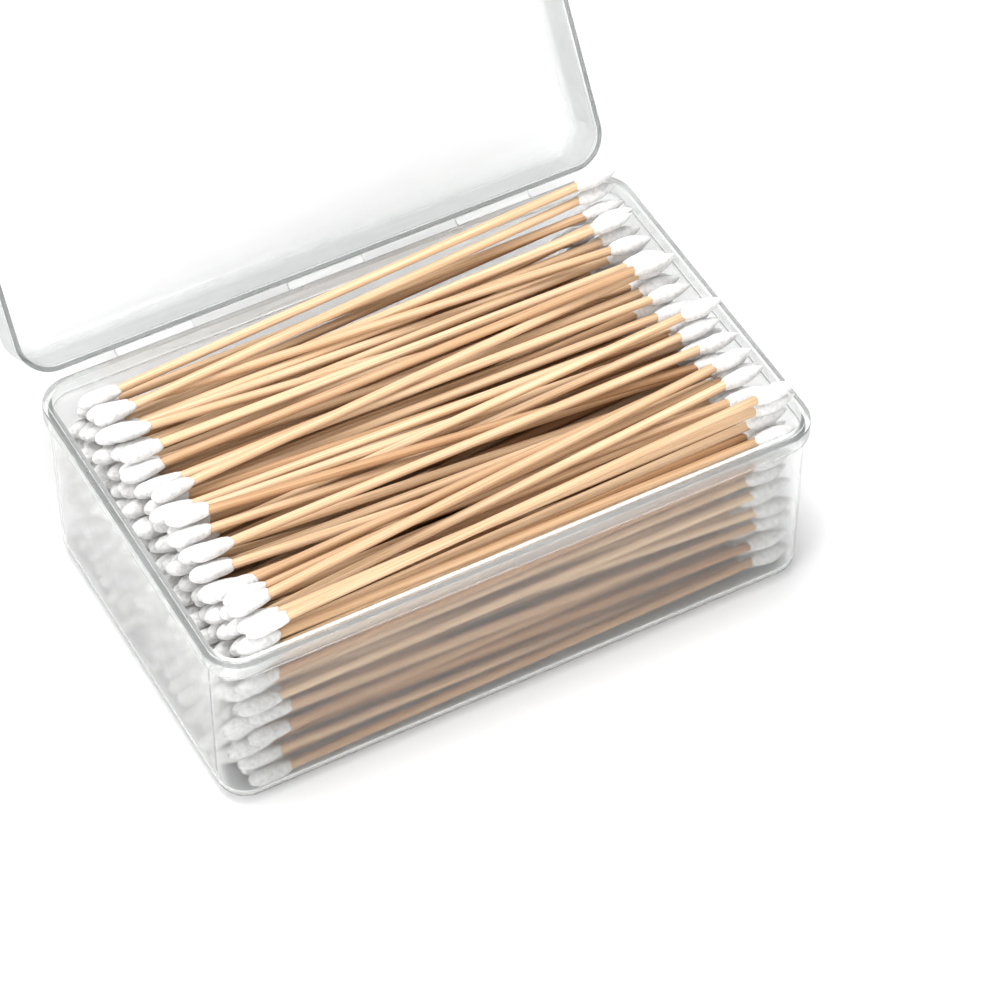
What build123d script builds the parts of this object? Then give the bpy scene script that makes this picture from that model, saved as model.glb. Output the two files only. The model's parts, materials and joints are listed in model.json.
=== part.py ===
from build123d import *
import math
import os
import numpy as np

# Hinged clear box of wooden cotton swabs, standing open.
# Millimetres, Z up. The origin is the middle of the tray's underside, X runs along the
# swabs, and the lid is hinged along the back edge, on the +Y side.

# ---- tray ----
box_length = 162.0        # over the rim, along X
box_width = 103.0         # over the rim, along Y
box_height = 52.5         # underside to the seat that the lid's edge closes on
rim_corner = 9.3          # plan radius of the rim's outer corners
rim_height = 4.1          # height of the thick band round the mouth
rim_overhang = 1.2        # how far that band stands out from the wall
rim_edge_radius = 0.35    # rounding of the band's outer edges
tray_wall = 1.2           # walls and floor
tray_draft = 0.45         # degrees, walls lean outwards to the mouth
tray_base_radius = 4.9    # outer rounding between walls and underside
lip_height = 0.8          # locating lip that stands inside the closed lid
lip_clearance = 0.2       # between the lip and the lid's inner face

# ---- lid ----
lid_height = 17.8         # outside depth
lid_wall = 1.2
lid_draft = 1.0           # degrees
lid_edge_radius = 6.0     # outer rounding between walls and panel
lid_rest_angle = 122.0    # degrees open, where it is left standing

# ---- living hinge: three thin webs moulded with tray and lid ----
hinge_offset = 1.1        # from the rim's back face to the hinge axis
web_count = 3
web_width = 21.0
web_pitch = 47.0
web_thickness = 0.4

# ---- swabs: a wooden stick with a round cotton bud and a pointed one ----
swab_length = 150.0
stick_radius = 1.2
bud_wrap = 0.12           # thickness of the cotton where it ends on the stick
round_bud_length = 11.2
round_bud_radius = 2.25
round_bud_nose = 3.9      # tip to the widest place
round_bud_cover = 1.8     # cotton beyond the stick's end
pointed_bud_length = 11.8
pointed_bud_radius = 2.25
pointed_bud_nose = 6.2
pointed_bud_cover = 3.5
round_nose_powers = (2.0, 0.5)    # of the nose's curve, here a half ellipse
pointed_nose_powers = (1.6, 0.8)  # runs out nearly straight to a soft point
tail_powers = (2.0, 0.75)         # of the curve from the widest place to the stick

# ---- how the swabs lie in the tray ----
swab_gap = 0.22           # least space between two swabs, and to the tray
end_play = 0.4            # kept free at each end of the longest possible place
swab_layers = 12          # groups, counted from the floor up
fill_height = 51.5        # height of swabs poured in, before they bed down
row_rise = 4.2            # height that one row takes of it
row_play = 0.4            # space between neighbours as they are poured
scatter_y = 1.0           # how far a poured swab may lie beside its even place
scatter_z = 0.4
yaw_spread = 2.6          # degrees, how far swabs lie off parallel
yaw_limit = 6.5
pitch_limit = 3.5         # degrees, how far a swab may lie off level
leaning_rows = 3          # uppermost rows, pushed along X so that points rest on the lip
random_seed = 7

# ---- how the settling is worked out ----
falling_steps = 900
settle_steps = 2400
settle_drop = 0.03        # fall at each step
lower_share = 0.25        # of each parting, the part that the lower swab gives way
parting_rate = 1.3        # of a parting, how much is done in one step
crowding_power = 0.75     # how far several partings at once hold each other back
pair_interval = 15        # steps between two searches for swabs that could touch
pair_reach_y = 7.0        # space within which level, parallel swabs could touch by the next one
pair_reach_z = 9.0
bud_zone = 20.0           # length at each end where swabs are compared closely
bud_station = 0.8         # spacing there of the places where they are compared
stick_station = 3.0       # spacing between the buds
tiny = 1e-9               # keeps two axes that cross from dividing by zero

tray_inset = rim_overhang + tray_wall
inner_length = box_length - 2 * tray_inset
inner_width = box_width - 2 * tray_inset
inner_corner = rim_corner - tray_inset
hinge_y = box_width / 2 + hinge_offset
swab_inertia = swab_length**2 / 12  # resistance to turning, as a rod's, for each unit of mass


def rounded_block(plane, wide_end, narrow_end, length, width, corner, draft, edge_radius):
    """A block with rounded corners, drafted from its wide end and rounded at the narrow one."""
    inset = abs(narrow_end - wide_end) * math.tan(math.radians(draft))
    outwards = plane.z_dir if narrow_end > wide_end else -plane.z_dir
    with BuildPart() as block:
        with BuildSketch(plane.offset(wide_end)):
            RectangleRounded(length, width, corner)
        with BuildSketch(plane.offset(narrow_end)):
            RectangleRounded(length - 2 * inset, width - 2 * inset, corner - inset)
        loft()
        narrow_face = block.faces().sort_by(Axis(plane.origin, outwards))[-1]
        fillet(narrow_face.edges(), edge_radius)
    return block.part


def make_tray():
    top = box_height + lip_height
    shell = rounded_block(
        Plane.XY, box_height, 0, box_length - 2 * rim_overhang, box_width - 2 * rim_overhang,
        rim_corner - rim_overhang, tray_draft, tray_base_radius)
    cavity = rounded_block(
        Plane.XY, top, tray_wall, inner_length, inner_width,
        inner_corner, tray_draft, tray_base_radius - tray_wall)
    lip_inset = lid_wall + lip_clearance
    with BuildPart() as tray:
        with BuildSketch(Plane.XY.offset(box_height - rim_height)):
            RectangleRounded(box_length, box_width, rim_corner)
        extrude(amount=rim_height)
        band_ends = tray.faces().filter_by(Axis.Z)
        fillet(band_ends.edges(), rim_edge_radius)
        with BuildSketch(Plane.XY.offset(box_height)):
            RectangleRounded(box_length - 2 * lip_inset, box_width - 2 * lip_inset,
                             rim_corner - lip_inset)
        extrude(amount=lip_height)
        add(shell)
        add(cavity, mode=Mode.SUBTRACT)
    return tray.part


def lid_plane(angle):
    """The plane of the lid's edge, centred on the lid, with the lid opened by the angle."""
    turn = math.radians(angle)
    along = Vector(0, math.cos(turn), -math.sin(turn))
    axis_point = Vector(0, hinge_y, box_height)
    outwards = Vector(0, math.sin(turn), math.cos(turn))
    return Plane(origin=axis_point - along * hinge_y, x_dir=(1, 0, 0), z_dir=outwards)


def make_lid():
    plane = lid_plane(lid_rest_angle)
    shell = rounded_block(
        plane, 0, lid_height, box_length, box_width, rim_corner, lid_draft, lid_edge_radius)
    cavity = rounded_block(
        plane, 0, lid_height - lid_wall, box_length - 2 * lid_wall, box_width - 2 * lid_wall,
        rim_corner - lid_wall, lid_draft, lid_edge_radius - lid_wall)
    with BuildPart() as lid:
        add(shell)
        add(cavity, mode=Mode.SUBTRACT)
    return lid.part


def opened(y, z):
    """Where a point of the closed lid, measured from the hinge axis, lies on the open lid."""
    turn = math.radians(lid_rest_angle)
    moved_y = y * math.cos(turn) + z * math.sin(turn)
    moved_z = z * math.cos(turn) - y * math.sin(turn)
    return (hinge_y + moved_y, box_height + moved_z)


def make_web(middle_x):
    """One thin web, bent in an arc that leaves the tray's rim and meets the lid squarely."""
    rim_face = hinge_y - hinge_offset
    with BuildPart() as web:
        with BuildSketch(Plane.YZ.offset(middle_x - web_width / 2)):
            with BuildLine():
                upper = TangentArc((rim_face, box_height), opened(-hinge_offset, 0), tangent=(1, 0))
                lower = TangentArc((rim_face, box_height - web_thickness),
                                   opened(-hinge_offset, web_thickness), tangent=(1, 0))
                Line(upper @ 0, lower @ 0)
                Line(upper @ 1, lower @ 1)
            make_face()
        extrude(amount=web_width)
    return web.part


def bud_radius(distance, length, radius, nose, nose_powers):
    """Radius of a bud at a distance from its tip: a nose, then a tail that ends on the stick."""
    ahead = np.clip(1 - distance / nose, 0, 1)
    behind = np.clip((distance - nose) / (length - nose), 0, 1)
    neck = stick_radius + bud_wrap
    nose_radius = radius * (1 - ahead ** nose_powers[0]) ** nose_powers[1]
    tail_radius = neck + (radius - neck) * (1 - behind ** tail_powers[0]) ** tail_powers[1]
    return np.where(distance < nose, nose_radius, tail_radius)


def round_bud_radius_at(distance):
    return bud_radius(
        distance, round_bud_length, round_bud_radius, round_bud_nose, round_nose_powers)


def pointed_bud_radius_at(distance):
    return bud_radius(
        distance, pointed_bud_length, pointed_bud_radius, pointed_bud_nose, pointed_nose_powers)


def make_bud(profile_plane, radius_at, length, nose, cover):
    """A bud with its tip at the plane's origin and its axis on the plane's Y, bored for the stick."""
    nose_places = [nose * share for share in (0, 0.03, 0.12, 0.28, 0.5, 0.7, 0.86, 1)]
    tail_places = [nose + (length - nose) * share for share in (0, 0.25, 0.5, 0.75, 0.92, 1)]
    nose_outline = [(float(radius_at(place)), place) for place in nose_places]
    tail_outline = [(float(radius_at(place)), place) for place in tail_places]
    with BuildPart() as bud:
        with BuildSketch(profile_plane):
            with BuildLine():
                Spline(*nose_outline, tangents=[(1, 0), (0, 1)])
                Spline(*tail_outline, tangents=[(0, 1), (-1, 1)])
                Polyline(tail_outline[-1], (stick_radius, length), (stick_radius, cover),
                         (0, cover), (0, 0))
            make_face()
        revolve(axis=Axis.Z)
    return bud.part


def make_stick():
    """The stick of a swab that lies along Z with its middle at the origin, round bud below."""
    with BuildPart() as stick:
        with BuildSketch(Plane.XY.offset(-swab_length / 2 + round_bud_cover)):
            Circle(stick_radius)
        extrude(amount=swab_length - round_bud_cover - pointed_bud_cover)
    return stick.part


def make_round_bud():
    plane = Plane(origin=(0, 0, -swab_length / 2), x_dir=(1, 0, 0), z_dir=(0, -1, 0))
    return make_bud(plane, round_bud_radius_at, round_bud_length, round_bud_nose, round_bud_cover)


def make_pointed_bud():
    plane = Plane(origin=(0, 0, swab_length / 2), x_dir=(1, 0, 0), z_dir=(0, 1, 0))
    return make_bud(
        plane, pointed_bud_radius_at, pointed_bud_length, pointed_bud_nose, pointed_bud_cover)


def swab_radius(along):
    """Radius of a swab at a distance from its round tip, or far below zero beyond its ends."""
    from_point = swab_length - along
    radius = np.full(along.shape, stick_radius)
    radius = np.where(along < round_bud_length, round_bud_radius_at(np.maximum(along, 0)), radius)
    radius = np.where(
        from_point < pointed_bud_length, pointed_bud_radius_at(np.maximum(from_point, 0)), radius)
    return np.where((along < 0) | (from_point < 0), -swab_length, radius)


def scatter_swabs(floor_z, half_length, half_width):
    """Swabs in loose rows before they settle: middles in x, and the pose that settling changes.

    A pose has four rows: y and z of each middle, and the slopes of y and z along X.
    """
    rng = np.random.default_rng(random_seed)
    bud_width = 2 * max(round_bud_radius, pointed_bud_radius)
    columns = int(2 * half_width / (bud_width + row_play))
    count = int(columns * fill_height / row_rise)
    row, column = np.divmod(np.arange(count), columns)
    slack = half_length - swab_length / 2 - end_play
    lip_slack = box_length / 2 - lid_wall - 2 * end_play - swab_length / 2
    leaning = row > row[-1] - leaning_rows
    x = np.where(leaning, rng.uniform(slack / 3, lip_slack, count), rng.uniform(-slack, slack, count))
    spread = 2 * half_width - bud_width - row_play
    y = ((column + 0.5) / columns - 0.5) * spread + rng.uniform(-scatter_y, scatter_y, count)
    z = floor_z + (row + 0.6) * bud_width + rng.uniform(-scatter_z, scatter_z, count)
    yaw = np.clip(rng.normal(0, yaw_spread, count), -yaw_limit, yaw_limit)
    return x, np.array([y, z, np.tan(np.radians(yaw)), np.zeros(count)])


def find_stations(half_length):
    """Places along X where swabs are compared: the round buds', the sticks' and the points'."""
    inner_end = half_length - bud_zone
    outer_end = half_length + bud_station
    return [np.arange(-outer_end, -inner_end, bud_station),
            np.arange(-inner_end, inner_end, stick_station),
            np.arange(inner_end, outer_end + bud_station, bud_station)]


def axis_at(stations, x, pose):
    """Where each swab's axis lies, in y and z, at each station."""
    along = stations[:, None] - x
    return pose[0] + pose[2] * along, pose[1] + pose[3] * along


def close_pairs(pose):
    """Pairs of swabs that could touch somewhere along their length before the next search."""
    first, second = np.triu_indices(pose.shape[1], 1)
    apart = abs(pose[:, first] - pose[:, second])
    swing = swab_length / 2 * (abs(pose[2:, first]) + abs(pose[2:, second]))
    near = (apart[0] < pair_reach_y + swing[0]) & (apart[1] < pair_reach_z + swing[1])
    return first[near], second[near]


def part_pairs(stations, radii, x, pose, first, second):
    """Moves that part the pairs that meet, and the number of meetings that each swab has."""
    count = len(x)
    at_y, at_z = axis_at(stations, x, pose)
    dy = at_y[:, second] - at_y[:, first]
    dz = at_z[:, second] - at_z[:, first]
    distance = np.sqrt(dy**2 + dz**2) + tiny
    overlap = radii[:, first] + radii[:, second] + swab_gap - distance
    deepest = np.argmax(overlap, axis=0)
    pair = np.arange(len(first))
    met = overlap[deepest, pair] > 0
    deepest, pair = deepest[met], pair[met]
    toward = np.array([dy[deepest, pair], dz[deepest, pair]]) / distance[deepest, pair]
    first_share = np.where(toward[1] > 0, lower_share, 1 - lower_share)
    moves = np.zeros((4, count))
    meetings = np.zeros(count)
    for swab, share in ((first[pair], -first_share), (second[pair], 1 - first_share)):
        arm = stations[deepest] - x[swab]
        push = toward * overlap[deepest, pair] * share / (1 + arm**2 / swab_inertia)
        turn = push * arm / swab_inertia
        moves += [np.bincount(swab, part, count) for part in (*push, *turn)]
        meetings += np.bincount(swab, minlength=count)
    return moves, meetings


def wall_pushes(stations, radii, y, z, floor_z, half_length, half_width):
    """How far each swab has to move at each station to be inside the tray or on its lip."""
    into_end = np.clip(abs(stations) - half_length + inner_corner, 0, inner_corner)
    rounding = inner_corner - np.sqrt(inner_corner**2 - into_end**2)
    side = half_width - rounding[:, None] - radii - swab_gap
    push_y = np.clip(-side - y, 0, None) - np.clip(y - side, 0, None)
    edge = tray_base_radius - tray_wall
    into_floor_end = np.clip(abs(stations) - half_length + edge, 0, edge)
    into_side = np.clip(abs(y) + stick_radius - half_width + edge, 0, edge)
    end_lift = edge - np.sqrt(edge**2 - into_floor_end**2)
    side_lift = edge - np.sqrt(edge**2 - into_side**2)
    carried_z = floor_z + np.maximum(end_lift[:, None], side_lift)
    lip_z = box_height + lip_height + swab_gap
    carried_z[abs(stations) > half_length] = lip_z
    return push_y, np.clip(carried_z + radii - z, 0, None)


def keep_in_tray(stations, radii, x, pose, floor_z, half_length, half_width):
    """Move each swab, where it is deepest in a wall, the floor or the lip, out of it."""
    pushes = wall_pushes(
        stations, radii, *axis_at(stations, x, pose), floor_z, half_length, half_width)
    for row, push in enumerate(pushes):
        push[radii < 0] = 0
        worst = np.argmax(abs(push), axis=0)
        arm = stations[worst] - x
        shift = push[worst, np.arange(len(x))] / (1 + arm**2 / swab_inertia)
        pose[row] += shift
        pose[row + 2] += shift * arm / swab_inertia


def settle_swabs():
    """Lower the swabs a little at a time and part those that meet, until they lie as a heap."""
    lean = box_height * math.tan(math.radians(tray_draft))
    inside = (tray_wall + swab_gap, inner_length / 2 - lean, inner_width / 2 - lean)
    x, pose = scatter_swabs(*inside)
    steepest = np.tan(np.radians([[yaw_limit], [pitch_limit]]))
    zones = [(stations, swab_radius(stations[:, None] - x + swab_length / 2))
             for stations in find_stations(inside[1])]
    for step in range(settle_steps):
        if step % pair_interval == 0:
            first, second = close_pairs(pose)
        if step < falling_steps:
            pose[1] -= settle_drop
        partings = [part_pairs(*zone, x, pose, first, second) for zone in zones]
        moves = sum(moves for moves, meetings in partings)
        meetings = sum(meetings for moves, meetings in partings)
        pose += moves * parting_rate / np.maximum(meetings, 1) ** crowding_power
        pose[2:] = np.clip(pose[2:], -steepest, steepest)
        for zone in zones:
            keep_in_tray(*zone, x, pose, *inside)
    return x, pose


def swab_planes():
    """A plane for each settled swab, its Z along the swab, sorted from the floor up."""
    x, pose = settle_swabs()
    planes = [Plane(origin=(middle_x, y, z), z_dir=(1, slope_y, slope_z))
              for middle_x, y, z, slope_y, slope_z in zip(x, *pose)]
    return sorted(planes, key=lambda plane: plane.origin.Z)


def write_piece(piece, name):
    piece.label = name
    export_step(piece, f"parts/{name}.step")


def write_copies(piece, planes, name):
    with BuildPart() as copies:
        with Locations(*planes):
            add(piece)
    write_piece(copies.part, name)


os.makedirs("parts", exist_ok=True)

write_piece(make_tray(), "tray")
write_piece(make_lid(), "lid")
for index in range(web_count):
    middle_x = (index - (web_count - 1) / 2) * web_pitch
    write_piece(make_web(middle_x), f"hinge_web_{index + 1}")

stick = make_stick()
round_bud = make_round_bud()
pointed_bud = make_pointed_bud()
planes = swab_planes()
print("swabs:", len(planes), "highest middle:", round(planes[-1].origin.Z, 1))
for layer in range(swab_layers):
    group = planes[layer * len(planes) // swab_layers:(layer + 1) * len(planes) // swab_layers]
    write_copies(stick, group, f"swab_sticks_{layer + 1:02d}")
    write_copies(round_bud, group, f"round_cotton_buds_{layer + 1:02d}")
    write_copies(pointed_bud, group, f"pointed_cotton_buds_{layer + 1:02d}")
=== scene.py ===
import json
import math

import bpy
import numpy as np
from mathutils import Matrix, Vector


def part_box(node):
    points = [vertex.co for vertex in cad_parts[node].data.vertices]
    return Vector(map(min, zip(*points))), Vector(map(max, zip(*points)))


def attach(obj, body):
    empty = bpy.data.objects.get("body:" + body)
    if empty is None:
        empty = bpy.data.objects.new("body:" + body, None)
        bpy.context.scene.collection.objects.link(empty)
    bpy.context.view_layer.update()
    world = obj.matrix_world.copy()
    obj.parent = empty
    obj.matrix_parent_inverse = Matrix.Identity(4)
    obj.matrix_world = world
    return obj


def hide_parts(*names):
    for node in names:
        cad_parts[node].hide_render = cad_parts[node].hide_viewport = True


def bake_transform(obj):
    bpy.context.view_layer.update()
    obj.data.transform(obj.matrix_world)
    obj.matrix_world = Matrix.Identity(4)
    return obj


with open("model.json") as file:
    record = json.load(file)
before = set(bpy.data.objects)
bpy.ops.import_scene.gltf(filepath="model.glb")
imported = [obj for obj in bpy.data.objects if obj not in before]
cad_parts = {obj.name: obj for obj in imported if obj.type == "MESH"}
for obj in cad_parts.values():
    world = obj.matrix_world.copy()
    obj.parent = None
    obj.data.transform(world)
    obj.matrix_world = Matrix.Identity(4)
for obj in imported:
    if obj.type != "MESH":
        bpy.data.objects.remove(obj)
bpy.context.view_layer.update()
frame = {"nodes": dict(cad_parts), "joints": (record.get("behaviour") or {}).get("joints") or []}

MM = 0.001
rng = np.random.default_rng(11)

# ---- the hinge, read from the frame ----
hinge_point = Vector(frame["joints"][0]["pos_m"])
seat_z = hinge_point.z
LID_REST_ANGLE = 122.0        # degrees open, as the frame stands at rest

# ---- camera: a long lens, from the front left and above ----
CAMERA_AZIMUTH = -28.63       # degrees from -Y, towards -X
CAMERA_ELEVATION = 48.36
CAMERA_DISTANCE = 1.1085
CAMERA_TARGET = Vector((0.0086, -0.0154, 0.030))
SENSOR = 36.0
FOCAL_LENGTH = 164.45
LENS_SHIFT = (0.0119, 0.001)
CLIP_RANGE = (0.05, 20.0)


def add_camera():
    data = bpy.data.cameras.new("camera")
    data.sensor_width = SENSOR
    data.lens = FOCAL_LENGTH
    data.shift_x, data.shift_y = LENS_SHIFT
    data.clip_start, data.clip_end = CLIP_RANGE
    camera = bpy.data.objects.new("camera", data)
    azimuth = math.radians(CAMERA_AZIMUTH)
    elevation = math.radians(CAMERA_ELEVATION)
    towards = Vector((math.sin(azimuth) * math.cos(elevation),
                      -math.cos(azimuth) * math.cos(elevation),
                      math.sin(elevation)))
    camera.location = CAMERA_TARGET + towards * CAMERA_DISTANCE
    camera.rotation_euler = towards.to_track_quat("Z", "Y").to_euler()
    bpy.context.scene.collection.objects.link(camera)
    bpy.context.scene.camera = camera


# ---- node helpers ----
NOISE_SPAN = (0.3, 0.7)       # where most of a noise texture's values lie


def new_material(name):
    material = bpy.data.materials.new(name)
    material.use_nodes = True
    tree = material.node_tree
    tree.nodes.clear()
    return material, tree


def node(tree, kind, **settings):
    made = tree.nodes.new(kind)
    for key, value in settings.items():
        if key in made.inputs:
            made.inputs[key].default_value = value
        else:
            setattr(made, key, value)
    return made


def link(tree, out_node, out_name, in_node, in_name):
    tree.links.new(out_node.outputs[out_name], in_node.inputs[in_name])


def ramp(tree, source, source_name, stops):
    made = tree.nodes.new("ShaderNodeValToRGB")
    elements = made.color_ramp.elements
    while len(elements) < len(stops):
        elements.new(0.5)
    for element, (place, colour) in zip(elements, stops):
        element.position = place
        element.color = (*colour, 1)
    link(tree, source, source_name, made, "Fac")
    return made


def noise(tree, coordinates, output, scale, detail=3.0, roughness=0.5):
    made = node(tree, "ShaderNodeTexNoise", Scale=scale, Detail=detail,
                Roughness=roughness)
    link(tree, coordinates, output, made, "Vector")
    return made


def mapped(tree, source, output, scale):
    made = tree.nodes.new("ShaderNodeMapping")
    made.inputs["Scale"].default_value = scale
    link(tree, source, output, made, "Vector")
    return made


def value_range(tree, source, output, low, high, in_low=0.0, in_high=1.0):
    made = tree.nodes.new("ShaderNodeMapRange")
    made.inputs["From Min"].default_value = in_low
    made.inputs["From Max"].default_value = in_high
    made.inputs["To Min"].default_value = low
    made.inputs["To Max"].default_value = high
    link(tree, source, output, made, "Value")
    return made


def bump(tree, height_node, height_output, strength, distance, below=None):
    made = node(tree, "ShaderNodeBump", Strength=strength, Distance=distance)
    link(tree, height_node, height_output, made, "Height")
    if below is not None:
        link(tree, below, "Normal", made, "Normal")
    return made


# ---- materials ----
PLASTIC_DENSITY = 24.0
PLASTIC_DEPTH_COLOUR = (0.60, 0.68, 0.65, 1)

# (distance in metres, share of milk): up from the tray's underside, and from the plane
# of the lid's edge towards its panel; a web has one share throughout
TRAY_MILK = ((0.0, 0.06), (0.004, 0.06), (0.008, 0.015), (0.0478, 0.015),
             (0.0488, 0.24), (0.0520, 0.26), (0.0535, 0.26))
# on the lid the milk is grey, so its bands are milkiness and painted shade, most on its side
# walls
LID_MILK_AND_SHADE = ((0.0, 0.10), (0.0010, 0.10), (0.0022, 0.50), (0.012, 0.45),
            (0.0162, 0.20), (0.0178, 0.04))
WEB_MILK = ((0.0, 0.3), (1.0, 0.3))
WHITE_MILK = (0.90, 0.915, 0.91)
# the lid's milk, of the same plastic as the tray's white milk, is grey: painted shade
SHADED_GREY_MILK = (0.60, 0.615, 0.615)


def depth_from(tree, place, point, outwards):
    """Distance of a surface point from a plane, in the piece's own coordinates."""
    made = node(tree, "ShaderNodeVectorMath", operation="SUBTRACT")
    link(tree, place, "Object", made, 0)
    made.inputs[1].default_value = point
    dot = node(tree, "ShaderNodeVectorMath", operation="DOT_PRODUCT")
    link(tree, made, "Vector", dot, 0)
    dot.inputs[1].default_value = outwards
    return dot


def clear_plastic(name, roughness_low, roughness_high, milk_and_shade_colour, milk_and_shade_bands,
                  edge=((0, 0, 0), (0, 0, 1))):
    """Moulded polypropylene: clear, faintly green in its depth, milkier in some bands; given a
    grey milk colour, the bands are also painted shade.

    The milk bands are (distance from the edge plane, share of milk) pairs, in metres; with a
    grey milk colour they paint shade.
    """
    material, tree = new_material(name)
    place = tree.nodes.new("ShaderNodeTexCoord")
    flow = noise(tree, mapped(tree, place, "Object", (9, 26, 30)), "Vector",
                 1.0, 4.0, 0.6)
    peel = noise(tree, place, "Object", 700.0, 2.0, 0.5)
    haze = noise(tree, place, "Object", 34.0, 3.0, 0.6)
    roughness = value_range(tree, haze, "Fac", roughness_low, roughness_high,
                            *NOISE_SPAN)
    waves = bump(tree, flow, "Fac", 0.10, 0.0006)
    skin = bump(tree, peel, "Fac", 0.05, 0.00008, below=waves)
    shell = node(tree, "ShaderNodeBsdfPrincipled", **{
        "Base Color": (0.99, 0.993, 0.99, 1), "IOR": 1.38, "Transmission Weight": 1.0,
        "Specular IOR Level": 0.2})
    link(tree, roughness, "Result", shell, "Roughness")
    link(tree, skin, "Normal", shell, "Normal")
    milk_and_shade = node(tree, "ShaderNodeBsdfPrincipled", **{
        "Base Color": (*milk_and_shade_colour, 1), "Roughness": 0.75, "IOR": 1.49,
        "Transmission Weight": 0.45})
    link(tree, skin, "Normal", milk_and_shade, "Normal")
    depth = depth_from(tree, place, *edge)
    reach = milk_and_shade_bands[-1][0]
    scaled = value_range(tree, depth, "Value", 0.0, 1.0, 0.0, reach)
    band = ramp(tree, scaled, "Result", [
        (distance / reach, (share, share, share)) for distance, share in milk_and_shade_bands])
    uneven = value_range(tree, flow, "Fac", 0.75, 1.25, *NOISE_SPAN)
    share = node(tree, "ShaderNodeMath", operation="MULTIPLY")
    link(tree, band, "Color", share, 0)
    link(tree, uneven, "Result", share, 1)
    mix = tree.nodes.new("ShaderNodeMixShader")
    link(tree, share, "Value", mix, "Fac")
    tree.links.new(shell.outputs["BSDF"], mix.inputs[1])
    tree.links.new(milk_and_shade.outputs["BSDF"], mix.inputs[2])
    depth_tint = node(tree, "ShaderNodeVolumeAbsorption", Density=PLASTIC_DENSITY)
    depth_tint.inputs["Color"].default_value = PLASTIC_DEPTH_COLOUR
    out = tree.nodes.new("ShaderNodeOutputMaterial")
    link(tree, mix, "Shader", out, "Surface")
    link(tree, depth_tint, "Volume", out, "Volume")
    return material


def birch():
    """Unfinished birch dowel: straight grain along the stick, each stick its own tone, darker in
    the lower layers as painted shade.
    """
    material, tree = new_material("birch_stick")
    grain_place = node(tree, "ShaderNodeAttribute", attribute_name="grain_place")
    tone_and_shade = node(tree, "ShaderNodeAttribute", attribute_name="tone_and_shade")
    long_grain = noise(tree, mapped(tree, grain_place, "Vector", (30, 2600, 2600)),
                       "Vector", 1.0, 4.0, 0.65)
    fine_grain = noise(tree, mapped(tree, grain_place, "Vector", (120, 7000, 7000)),
                       "Vector", 1.0, 2.0, 0.5)
    flecks = noise(tree, mapped(tree, grain_place, "Vector", (260, 3800, 3800)),
                   "Vector", 1.0, 2.0, 0.5)
    base = ramp(tree, long_grain, "Fac", [
        (0.32, (0.52, 0.33, 0.185)), (0.5, (0.69, 0.487, 0.307)),
        (0.68, (0.77, 0.59, 0.415))])
    # the tone attribute: each stick's own tone, with painted shade darkening the lower layers
    own_tone_and_shade = ramp(tree, tone_and_shade, "Fac", [
        (0.0, (0.55, 0.40, 0.28)), (0.5, (0.92, 0.89, 0.86)),
        (1.0, (1.05, 1.05, 1.05))])
    toned = node(tree, "ShaderNodeMix", data_type="RGBA", blend_type="MULTIPLY")
    toned.inputs["Factor"].default_value = 1.0
    tree.links.new(base.outputs["Color"], toned.inputs["A"])
    tree.links.new(own_tone_and_shade.outputs["Color"], toned.inputs["B"])
    fleck_mask = value_range(tree, flecks, "Fac", 0.0, 0.5, 0.66, 0.76)
    flecked = node(tree, "ShaderNodeMix", data_type="RGBA", blend_type="MIX")
    flecked.inputs["B"].default_value = (0.36, 0.19, 0.085, 1)
    tree.links.new(fleck_mask.outputs["Result"], flecked.inputs["Factor"])
    tree.links.new(toned.outputs["Result"], flecked.inputs["A"])
    shader = node(tree, "ShaderNodeBsdfPrincipled", **{"IOR": 1.45})
    shader.inputs["Specular IOR Level"].default_value = 0.35
    tree.links.new(flecked.outputs["Result"], shader.inputs["Base Color"])
    roughness = value_range(tree, fine_grain, "Fac", 0.42, 0.68, *NOISE_SPAN)
    link(tree, roughness, "Result", shader, "Roughness")
    pores = bump(tree, fine_grain, "Fac", 0.35, 0.00006)
    fibres = bump(tree, long_grain, "Fac", 0.4, 0.0001, below=pores)
    link(tree, fibres, "Normal", shader, "Normal")
    out = tree.nodes.new("ShaderNodeOutputMaterial")
    link(tree, shader, "BSDF", out, "Surface")
    return material


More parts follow.
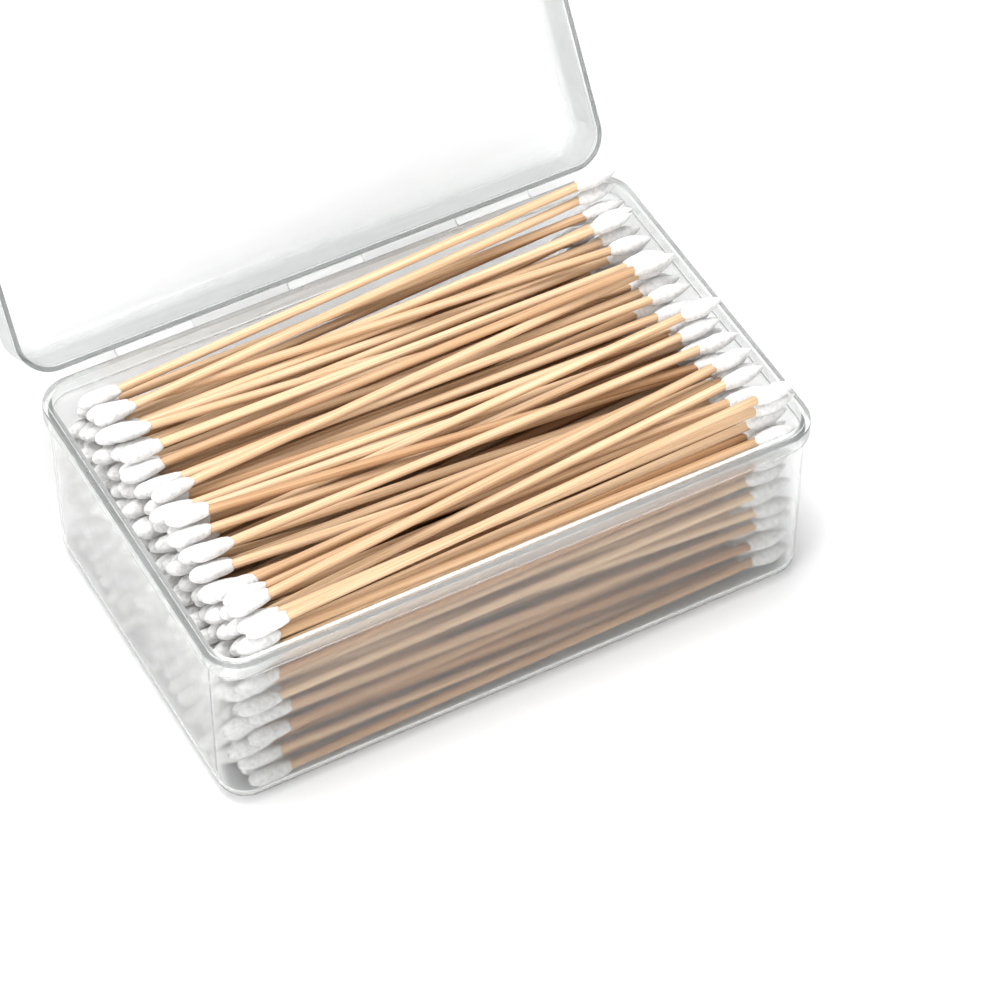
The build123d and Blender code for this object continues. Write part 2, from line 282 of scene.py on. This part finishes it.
def cotton():
    """Cotton wound round the stick: soft, matt, fine fibres that follow the winding."""
    material, tree = new_material("cotton_wool")
    wound_place = node(tree, "ShaderNodeAttribute", attribute_name="wound_place")
    place = tree.nodes.new("ShaderNodeTexCoord")
    fibres = noise(tree, mapped(tree, wound_place, "Vector", (900, 5200, 5200)),
                   "Vector", 1.0, 4.0, 0.65)
    tufts = noise(tree, place, "Object", 900.0, 4.0, 0.6)
    lumps = noise(tree, place, "Object", 260.0, 2.0, 0.5)
    # greyer where the tufts' bump lies low: painted shade in the hollows of the cotton
    colour = ramp(tree, tufts, "Fac", [
        (0.28, (0.54, 0.53, 0.522)), (0.52, (0.70, 0.693, 0.687)),
        (0.78, (0.80, 0.795, 0.79))])
    shader = node(tree, "ShaderNodeBsdfPrincipled", **{"Roughness": 0.95, "IOR": 1.4})
    shader.inputs["Specular IOR Level"].default_value = 0.12
    shader.inputs["Sheen Weight"].default_value = 0.35
    shader.inputs["Sheen Roughness"].default_value = 0.6
    shader.inputs["Subsurface Weight"].default_value = 0.15
    shader.inputs["Subsurface Radius"].default_value = (0.0011, 0.0010, 0.0009)
    shader.inputs["Subsurface Scale"].default_value = 1.0
    link(tree, colour, "Color", shader, "Base Color")
    low = bump(tree, lumps, "Fac", 0.9, 0.0008)
    middle = bump(tree, tufts, "Fac", 0.7, 0.00035, below=low)
    fine = bump(tree, fibres, "Fac", 0.6, 0.00015, below=middle)
    link(tree, fine, "Normal", shader, "Normal")
    out = tree.nodes.new("ShaderNodeOutputMaterial")
    link(tree, shader, "BSDF", out, "Surface")
    return material


def floor_material():
    material, tree = new_material("pale_floor")
    shader = node(tree, "ShaderNodeBsdfPrincipled", **{
        "Base Color": (0.80, 0.80, 0.80, 1), "Roughness": 0.8})
    shader.inputs["Specular IOR Level"].default_value = 0.2
    out = tree.nodes.new("ShaderNodeOutputMaterial")
    link(tree, shader, "BSDF", out, "Surface")
    return material


# ---- mesh helpers ----
WELD_STEP = 0.002 * MM        # CAD vertices this near are one, so a solid hangs together


def mesh_object(name, vertices, faces, material, smooth=True):
    mesh = bpy.data.meshes.new(name)
    mesh.from_pydata([tuple(v) for v in vertices], [], faces)
    mesh.update()
    mesh.materials.append(material)
    if smooth:
        mesh.polygons.foreach_set("use_smooth", [True] * len(mesh.polygons))
    made = bpy.data.objects.new(name, mesh)
    bpy.context.scene.collection.objects.link(made)
    return made


def float_attribute(made, name, values):
    made.data.attributes.new(name, "FLOAT", "POINT")
    made.data.attributes[name].data.foreach_set("value", np.asarray(values, np.float32))


def vector_attribute(made, name, values):
    made.data.attributes.new(name, "FLOAT_VECTOR", "POINT")
    flat = np.asarray(values, np.float32).reshape(-1)
    made.data.attributes[name].data.foreach_set("vector", flat)


def loose_parts(node_object):
    """The vertices of each solid of a CAD node, as arrays."""
    mesh = node_object.data
    count = len(mesh.vertices)
    place = np.zeros(count * 3)
    mesh.vertices.foreach_get("co", place)
    place = place.reshape(-1, 3)
    keys = np.round(place / WELD_STEP).astype(np.int64)
    _, same = np.unique(keys, axis=0, return_inverse=True)
    same = same.reshape(-1)
    edges = np.zeros(len(mesh.edges) * 2, np.int64)
    mesh.edges.foreach_get("vertices", edges)
    edges = same[edges.reshape(-1, 2)]
    label = np.arange(same.max() + 1)
    while True:
        lowest = np.minimum(label[edges[:, 0]], label[edges[:, 1]])
        before = label.copy()
        np.minimum.at(label, edges[:, 0], lowest)
        np.minimum.at(label, edges[:, 1], lowest)
        label = label[label]
        if (label == before).all():
            break
    return [place[label[same] == one] for one in np.unique(label)]


def stick_axes(node_object):
    """Start, direction and length of each stick, from its round to its pointed end."""
    axes = []
    for points in loose_parts(node_object):
        middle = points.mean(axis=0)
        _, main_ways = np.linalg.eigh((points - middle).T @ (points - middle))
        direction = main_ways[:, -1]
        direction = direction * np.sign(direction[0])
        along = (points - middle) @ direction
        low, high = along.min(), along.max()
        sideways = points - middle - np.outer(along, direction)
        offset = 0.5 * (sideways.max(axis=0) + sideways.min(axis=0))
        axes.append((middle + offset + direction * low, direction, high - low))
    return axes


def across(direction):
    """Two unit vectors square to a direction."""
    side = np.cross(direction, (0.0, 0.0, 1.0))
    side /= np.linalg.norm(side)
    return side, np.cross(side, direction)


# ---- swabs ----
STICK_RADIUS = 1.2 * MM
STICK_SIDES = 14
STICK_RINGS = 12
STICK_THINNING = 0.03         # most that a stick is thinner than the CAD's, as a share
STICK_WAVE = 0.006            # share by which its thickness varies along its length
STICK_WAVE_RATE = 90          # radians of that wave in a metre
UPPER_LAYERS = 2
UPPER_TONE = 0.52             # of the sticks in the upper layers, and of those below; the darker tone below is painted shade
SHADED_LOWER_TONE = 0.36
TONE_SPREAD = 0.2

BUD_WRAP = 0.12 * MM          # cotton on the stick where a bud ends
ROUND_BUD = dict(length=11.2 * MM, radius=2.25 * MM, nose=3.9 * MM, cover=1.8 * MM,
                 nose_powers=(2.0, 0.5), tail_powers=(2.0, 0.75))
POINTED_BUD = dict(length=11.8 * MM, radius=2.25 * MM, nose=6.2 * MM, cover=3.5 * MM,
                   nose_powers=(1.6, 0.8), tail_powers=(2.0, 0.75))

FINE_LAYERS = 4               # layers near the top, with finer buds than those below
FINE_BUD = (28, 26)           # sides and rings
PLAIN_BUD = (18, 16)
PLUMPNESS = (0.92, 1.0)       # share of the CAD's radius
WIDE_RAG = 0.26 * MM          # waves of the ragged end, two and three to the turn
NARROW_RAG = 0.09 * MM
RAG_SETBACK = 0.35 * MM
BIG_LUMP = 0.075 * MM
BIG_LUMP_SIZE = 1.3 * MM
SMALL_LUMP = 0.035 * MM
SMALL_LUMP_SIZE = 0.45 * MM
WIND_HEIGHT = 0.03 * MM
WIND_TURNS = 2.2
LUMP_SETBACK = 0.03 * MM
LEAST_RADIUS = 0.02 * MM
TIP_INSET = 0.03 * MM
OVER_STICK = 1.03             # the least cotton over the stick, in stick radii
INTO_STICK = 0.97             # the last ring goes just under the stick's surface
FIBRE_SLANT = 3.0             # radians that the fibres turn over a bud's length
FIBRE_STRETCH = 0.3
SEED_SHIFT = 1e-9             # moves each bud to its own part of the fibre texture

NOISE_WAVES = 7
NOISE_PITCHES = (0.6, 1.6)
NOISE_LEVEL = 3.0


def smooth_noise(points, scale, seed):
    """Cheap smooth noise from a few crossed waves, mostly between -1 and 1."""
    waves = np.random.default_rng(seed)
    total = np.zeros(len(points))
    for _ in range(NOISE_WAVES):
        way = waves.normal(size=3)
        way *= waves.uniform(*NOISE_PITCHES) / np.linalg.norm(way)
        total += np.sin(points @ way / scale + waves.uniform(0, 2 * math.pi))
    return total / NOISE_LEVEL


def grid_faces(rings, sides, first=0):
    faces = []
    for ring in range(rings - 1):
        for side in range(sides):
            after = (side + 1) % sides
            low = first + ring * sides
            faces.append((low + side, low + after,
                          low + sides + after, low + sides + side))
    return faces


def make_sticks(name, axes, usual_tone_and_shade, material):
    """All the sticks of a layer as one mesh, with each stick's own grain and tone, which in the
    lower layers also carries painted shade.
    """
    vertices, faces, grain, tones_and_shade = [], [], [], []
    angles = np.arange(STICK_SIDES) * 2 * math.pi / STICK_SIDES
    for start, direction, length in axes:
        side, up = across(direction)
        first = len(vertices)
        turn = rng.uniform(0, 2 * math.pi)
        offset = rng.uniform(-1, 1, 3)
        # tone varies at random about the layer's; the lower layers' darker tone is painted shade
        tone_and_shade = float(np.clip(rng.normal(usual_tone_and_shade, TONE_SPREAD), 0, 1))
        thickness = 1 - rng.uniform(0, STICK_THINNING)
        for place in np.linspace(0, length, STICK_RINGS):
            wave = math.sin(place * STICK_WAVE_RATE + turn)
            radius = STICK_RADIUS * thickness * (1 - STICK_WAVE * (1 + wave))
            for angle in angles:
                ring = side * math.cos(angle) + up * math.sin(angle)
                vertices.append(start + direction * place + ring * radius)
                grain.append((place + offset[0],
                              STICK_RADIUS * math.cos(angle + turn) + offset[1],
                              STICK_RADIUS * math.sin(angle + turn) + offset[2]))
                tones_and_shade.append(tone_and_shade)
        faces += grid_faces(STICK_RINGS, STICK_SIDES, first)
        faces.append(tuple(first + i for i in reversed(range(STICK_SIDES))))
        last = first + (STICK_RINGS - 1) * STICK_SIDES
        faces.append(tuple(last + i for i in range(STICK_SIDES)))
    made = mesh_object(name, vertices, faces, material)
    vector_attribute(made, "grain_place", grain)
    float_attribute(made, "tone_and_shade", tones_and_shade)
    return made


def share_to_neck(distance, shape):
    """0 from a bud's tip to its thickest ring, then up to 1 where the cotton ends."""
    return np.clip((distance - shape["nose"]) / (shape["length"] - shape["nose"]), 0, 1)


def bud_outline(distance, shape):
    """The bud's radius at a distance from its tip, as in the CAD."""
    ahead = np.clip(1 - distance / shape["nose"], 0, 1)
    behind = share_to_neck(distance, shape)
    neck = STICK_RADIUS + BUD_WRAP
    nose_power, nose_root = shape["nose_powers"]
    tail_power, tail_root = shape["tail_powers"]
    nose = shape["radius"] * (1 - ahead**nose_power) ** nose_root
    tail = neck + (shape["radius"] - neck) * (1 - behind**tail_power) ** tail_root
    return np.where(distance < shape["nose"], nose, tail)


def bud_places(shape, rings):
    """Distances of the rings from the tip, closest together at the tip and the neck."""
    nose_rings = rings // 2
    nose_turns = np.linspace(0, math.pi / 2, nose_rings + 1)[1:]
    tail_turns = np.linspace(0, math.pi / 2, rings - nose_rings + 1)[1:]
    nose_places = shape["nose"] * (1 - np.cos(nose_turns))
    tail_places = shape["nose"] + (shape["length"] - shape["nose"]) * np.sin(tail_turns)
    return np.concatenate([nose_places, tail_places])


def make_buds(name, tips, shape, sides, rings, material):
    """The buds of a layer as one mesh: lumpy wound cotton, ragged where it ends."""
    vertices, faces, wound = [], [], []
    places = bud_places(shape, rings)
    outline = bud_outline(places, shape)
    to_neck = share_to_neck(places, shape)[:, None]
    fade = np.clip(outline / shape["radius"], 0, 1)[:, None]
    angles = np.arange(sides) * 2 * math.pi / sides
    first = 0
    for tip, inward in tips:
        side, up = across(inward)
        seed = int(rng.integers(1 << 30))
        plumpness = rng.uniform(*PLUMPNESS)
        twist = rng.uniform(0, 2 * math.pi)
        ring = np.cos(angles)[:, None] * side + np.sin(angles)[:, None] * up
        ragged = (WIDE_RAG * np.sin(2 * angles + twist)
                  + NARROW_RAG * np.sin(3 * angles + 2 * twist) - RAG_SETBACK)
        along = places[:, None] + ragged * to_neck**2
        centre = tip + along[:, :, None] * inward
        plain = (centre + ring * outline[:, None, None]).reshape(-1, 3)
        lumps = BIG_LUMP * smooth_noise(plain, BIG_LUMP_SIZE, seed)
        lumps += SMALL_LUMP * smooth_noise(plain, SMALL_LUMP_SIZE, seed + 1)
        shares = places[:, None] / shape["length"]
        wind = WIND_HEIGHT * np.sin(angles + twist + shares * 2 * math.pi * WIND_TURNS)
        radius = outline[:, None] * plumpness
        radius = radius + (lumps.reshape(rings, sides) + wind - LUMP_SETBACK) * fade
        radius = np.maximum(radius, LEAST_RADIUS)
        covered = np.maximum(radius, STICK_RADIUS * OVER_STICK)
        radius = np.where(to_neck > 0, covered, radius)
        radius[-1] = STICK_RADIUS * INTO_STICK
        rows = centre + ring * radius[:, :, None]
        vertices += [tip + inward * TIP_INSET] + list(rows.reshape(-1, 3))
        wound += [(0, 0, 0)]
        for place, out in zip(places, radius):
            for angle, r in zip(angles, out):
                slant = angle + twist + place / shape["length"] * FIBRE_SLANT
                wound.append((place * FIBRE_STRETCH + seed * SEED_SHIFT,
                              r * math.cos(slant), r * math.sin(slant)))
        for k in range(sides):
            faces.append((first, first + 1 + (k + 1) % sides, first + 1 + k))
        faces += [tuple(reversed(face)) for face in grid_faces(rings, sides, first + 1)]
        last = first + 1 + (rings - 1) * sides
        faces.append(tuple(last + i for i in reversed(range(sides))))
        first += 1 + rings * sides
    made = mesh_object(name, vertices, faces, material)
    vector_attribute(made, "wound_place", wound)
    return made


def add_swabs(wood, wool):
    layers = sorted(n for n in frame["nodes"] if n.startswith("swab_sticks_"))
    for index, stick_node in enumerate(layers):
        number = stick_node[-2:]
        axes = stick_axes(frame["nodes"][stick_node])
        layers_above = len(layers) - 1 - index
        sides, rings = FINE_BUD if layers_above < FINE_LAYERS else PLAIN_BUD
        # the lower layers get a darker tone: painted shade between the sticks
        usual_tone_and_shade = UPPER_TONE if layers_above < UPPER_LAYERS else SHADED_LOWER_TONE
        sticks = make_sticks(f"birch_sticks_{number}", axes, usual_tone_and_shade, wood)
        round_tips = [(start - direction * ROUND_BUD["cover"], direction)
                      for start, direction, length in axes]
        pointed_tips = [(start + direction * (length + POINTED_BUD["cover"]), -direction)
                        for start, direction, length in axes]
        round_buds = make_buds(f"round_cotton_{number}", round_tips, ROUND_BUD,
                               sides, rings, wool)
        pointed_buds = make_buds(f"pointed_cotton_{number}", pointed_tips, POINTED_BUD,
                                 sides, rings, wool)
        for piece, cad_node, slot in (
                (sticks, stick_node, "stick_wood"),
                (round_buds, f"round_cotton_buds_{number}", "cotton"),
                (pointed_buds, f"pointed_cotton_buds_{number}", "cotton")):
            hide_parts(cad_node)
            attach(piece, "box")


# ---- hinge webs ----
WEB_THICKNESS = 0.4 * MM
WEB_THINNEST = 0.55           # share of that thickness left along the middle
WEB_STEPS = 14
WEB_COLUMNS = 24
FAR_EDGE_BAND = 0.05 * MM     # the CAD web's vertices this near its top are its far edge


def web_points(low_x, high_x, start, end):
    """Both skins of a film that leaves the rim level and bends evenly up to the lid."""
    chord = end - start
    half_turn = math.atan2(chord[1], chord[0])
    arc_radius = np.linalg.norm(chord) / (2 * math.sin(half_turn))
    points = []
    for skin in (1, -1):
        for step in range(WEB_STEPS + 1):
            share = step / WEB_STEPS
            turn = 2 * half_turn * share
            thinning = WEB_THINNEST + (1 - WEB_THINNEST) * (2 * share - 1) ** 2
            radius = arc_radius - skin * WEB_THICKNESS / 2 * thinning
            for column in range(WEB_COLUMNS + 1):
                points.append((low_x + (high_x - low_x) * column / WEB_COLUMNS,
                               start[0] + radius * math.sin(turn),
                               start[1] + arc_radius - radius * math.cos(turn)))
    return points


def web_faces():
    """The two skins, then the film's side edges, then its near and far edges."""
    row = WEB_COLUMNS + 1
    sheet = (WEB_STEPS + 1) * row
    faces = []
    for step in range(WEB_STEPS):
        for column in range(WEB_COLUMNS):
            a = step * row + column
            faces.append((a, a + 1, a + row + 1, a + row))
            faces.append((sheet + a, sheet + a + row, sheet + a + row + 1, sheet + a + 1))
    for step in range(WEB_STEPS):
        a, b = step * row, (step + 1) * row
        faces.append((a, b, sheet + b, sheet + a))
        a, b = a + WEB_COLUMNS, b + WEB_COLUMNS
        faces.append((a, sheet + a, sheet + b, b))
    for column in range(WEB_COLUMNS):
        faces.append((column, sheet + column, sheet + column + 1, column + 1))
        a = WEB_STEPS * row + column
        faces.append((a, a + 1, sheet + a + 1, sheet + a))
    return faces


def add_webs(material):
    """Each web: a film bent between rim and lid, thinnest along its middle."""
    for name in sorted(n for n in frame["nodes"] if n.startswith("hinge_web_")):
        low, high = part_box(name)
        start = np.array((low.y, seat_z - WEB_THICKNESS / 2))
        node_points = np.array([v.co for v in frame["nodes"][name].data.vertices])
        far = node_points[node_points[:, 2] > high.z - FAR_EDGE_BAND]
        end = far.mean(axis=0)[1:]
        piece = mesh_object(name.replace("hinge_web", "living_hinge"),
                            web_points(low.x, high.x, start, end), web_faces(), material)
        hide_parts(name)
        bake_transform(piece)


# ---- stage ----

FLOOR_REACH = 3.0
FLOOR_DROP = 0.2 * MM         # keeps the floor clear of the underside
WORLD_STRENGTH = 0.55
LIGHT_AIM = Vector((0.0, 0.0, 0.03))
# name, place, width in metres, power in watts
SOFTBOXES = (
    ("top_softbox", (-0.10, 0.12, 1.0), 0.6, 11.0),
    ("left_softbox", (-0.9, -0.4, 0.6), 0.6, 7.0),
    ("right_fill", (0.9, -0.6, 0.6), 0.7, 2.0),
    ("front_fill", (-0.25, -1.1, 0.40), 0.6, 5.0),
)


def add_stage():
    corners = [(-FLOOR_REACH, -FLOOR_REACH, 0), (FLOOR_REACH, -FLOOR_REACH, 0),
               (FLOOR_REACH, FLOOR_REACH, 0), (-FLOOR_REACH, FLOOR_REACH, 0)]
    floor = mesh_object("floor", corners, [(0, 1, 2, 3)], floor_material(), smooth=False)
    floor.location.z = -FLOOR_DROP
    world = bpy.data.worlds.new("studio")
    world.use_nodes = True
    background = world.node_tree.nodes["Background"]
    background.inputs["Color"].default_value = (1, 1, 1, 1)
    background.inputs["Strength"].default_value = WORLD_STRENGTH
    bpy.context.scene.world = world
    for name, place, size, power in SOFTBOXES:
        data = bpy.data.lights.new(name, "AREA")
        data.size = size
        data.energy = power
        light = bpy.data.objects.new(name, data)
        light.location = place
        backwards = Vector(place) - LIGHT_AIM
        light.rotation_euler = backwards.to_track_quat("Z", "Y").to_euler()
        bpy.context.scene.collection.objects.link(light)
    bpy.context.scene.view_settings.view_transform = "Standard"


# ---- the scene ----
add_camera()
opened = math.radians(LID_REST_ANGLE)
lid_edge = (tuple(hinge_point), (0.0, math.sin(opened), math.cos(opened)))
tray_plastic = clear_plastic("tray_polypropylene", 0.10, 0.18, WHITE_MILK, TRAY_MILK)
# the lid's grey milk is painted shade on its side walls
lid_plastic = clear_plastic("lid_polypropylene", 0.10, 0.16, SHADED_GREY_MILK, LID_MILK_AND_SHADE,
                            lid_edge)
web_plastic = clear_plastic("hinge_polypropylene", 0.2, 0.3, WHITE_MILK, WEB_MILK)
for name, plastic in (("tray", tray_plastic), ("lid", lid_plastic)):
    data = frame["nodes"][name].data
    data.materials.clear()
    data.materials.append(plastic)
add_swabs(birch(), cotton())
add_webs(web_plastic)
add_stage()
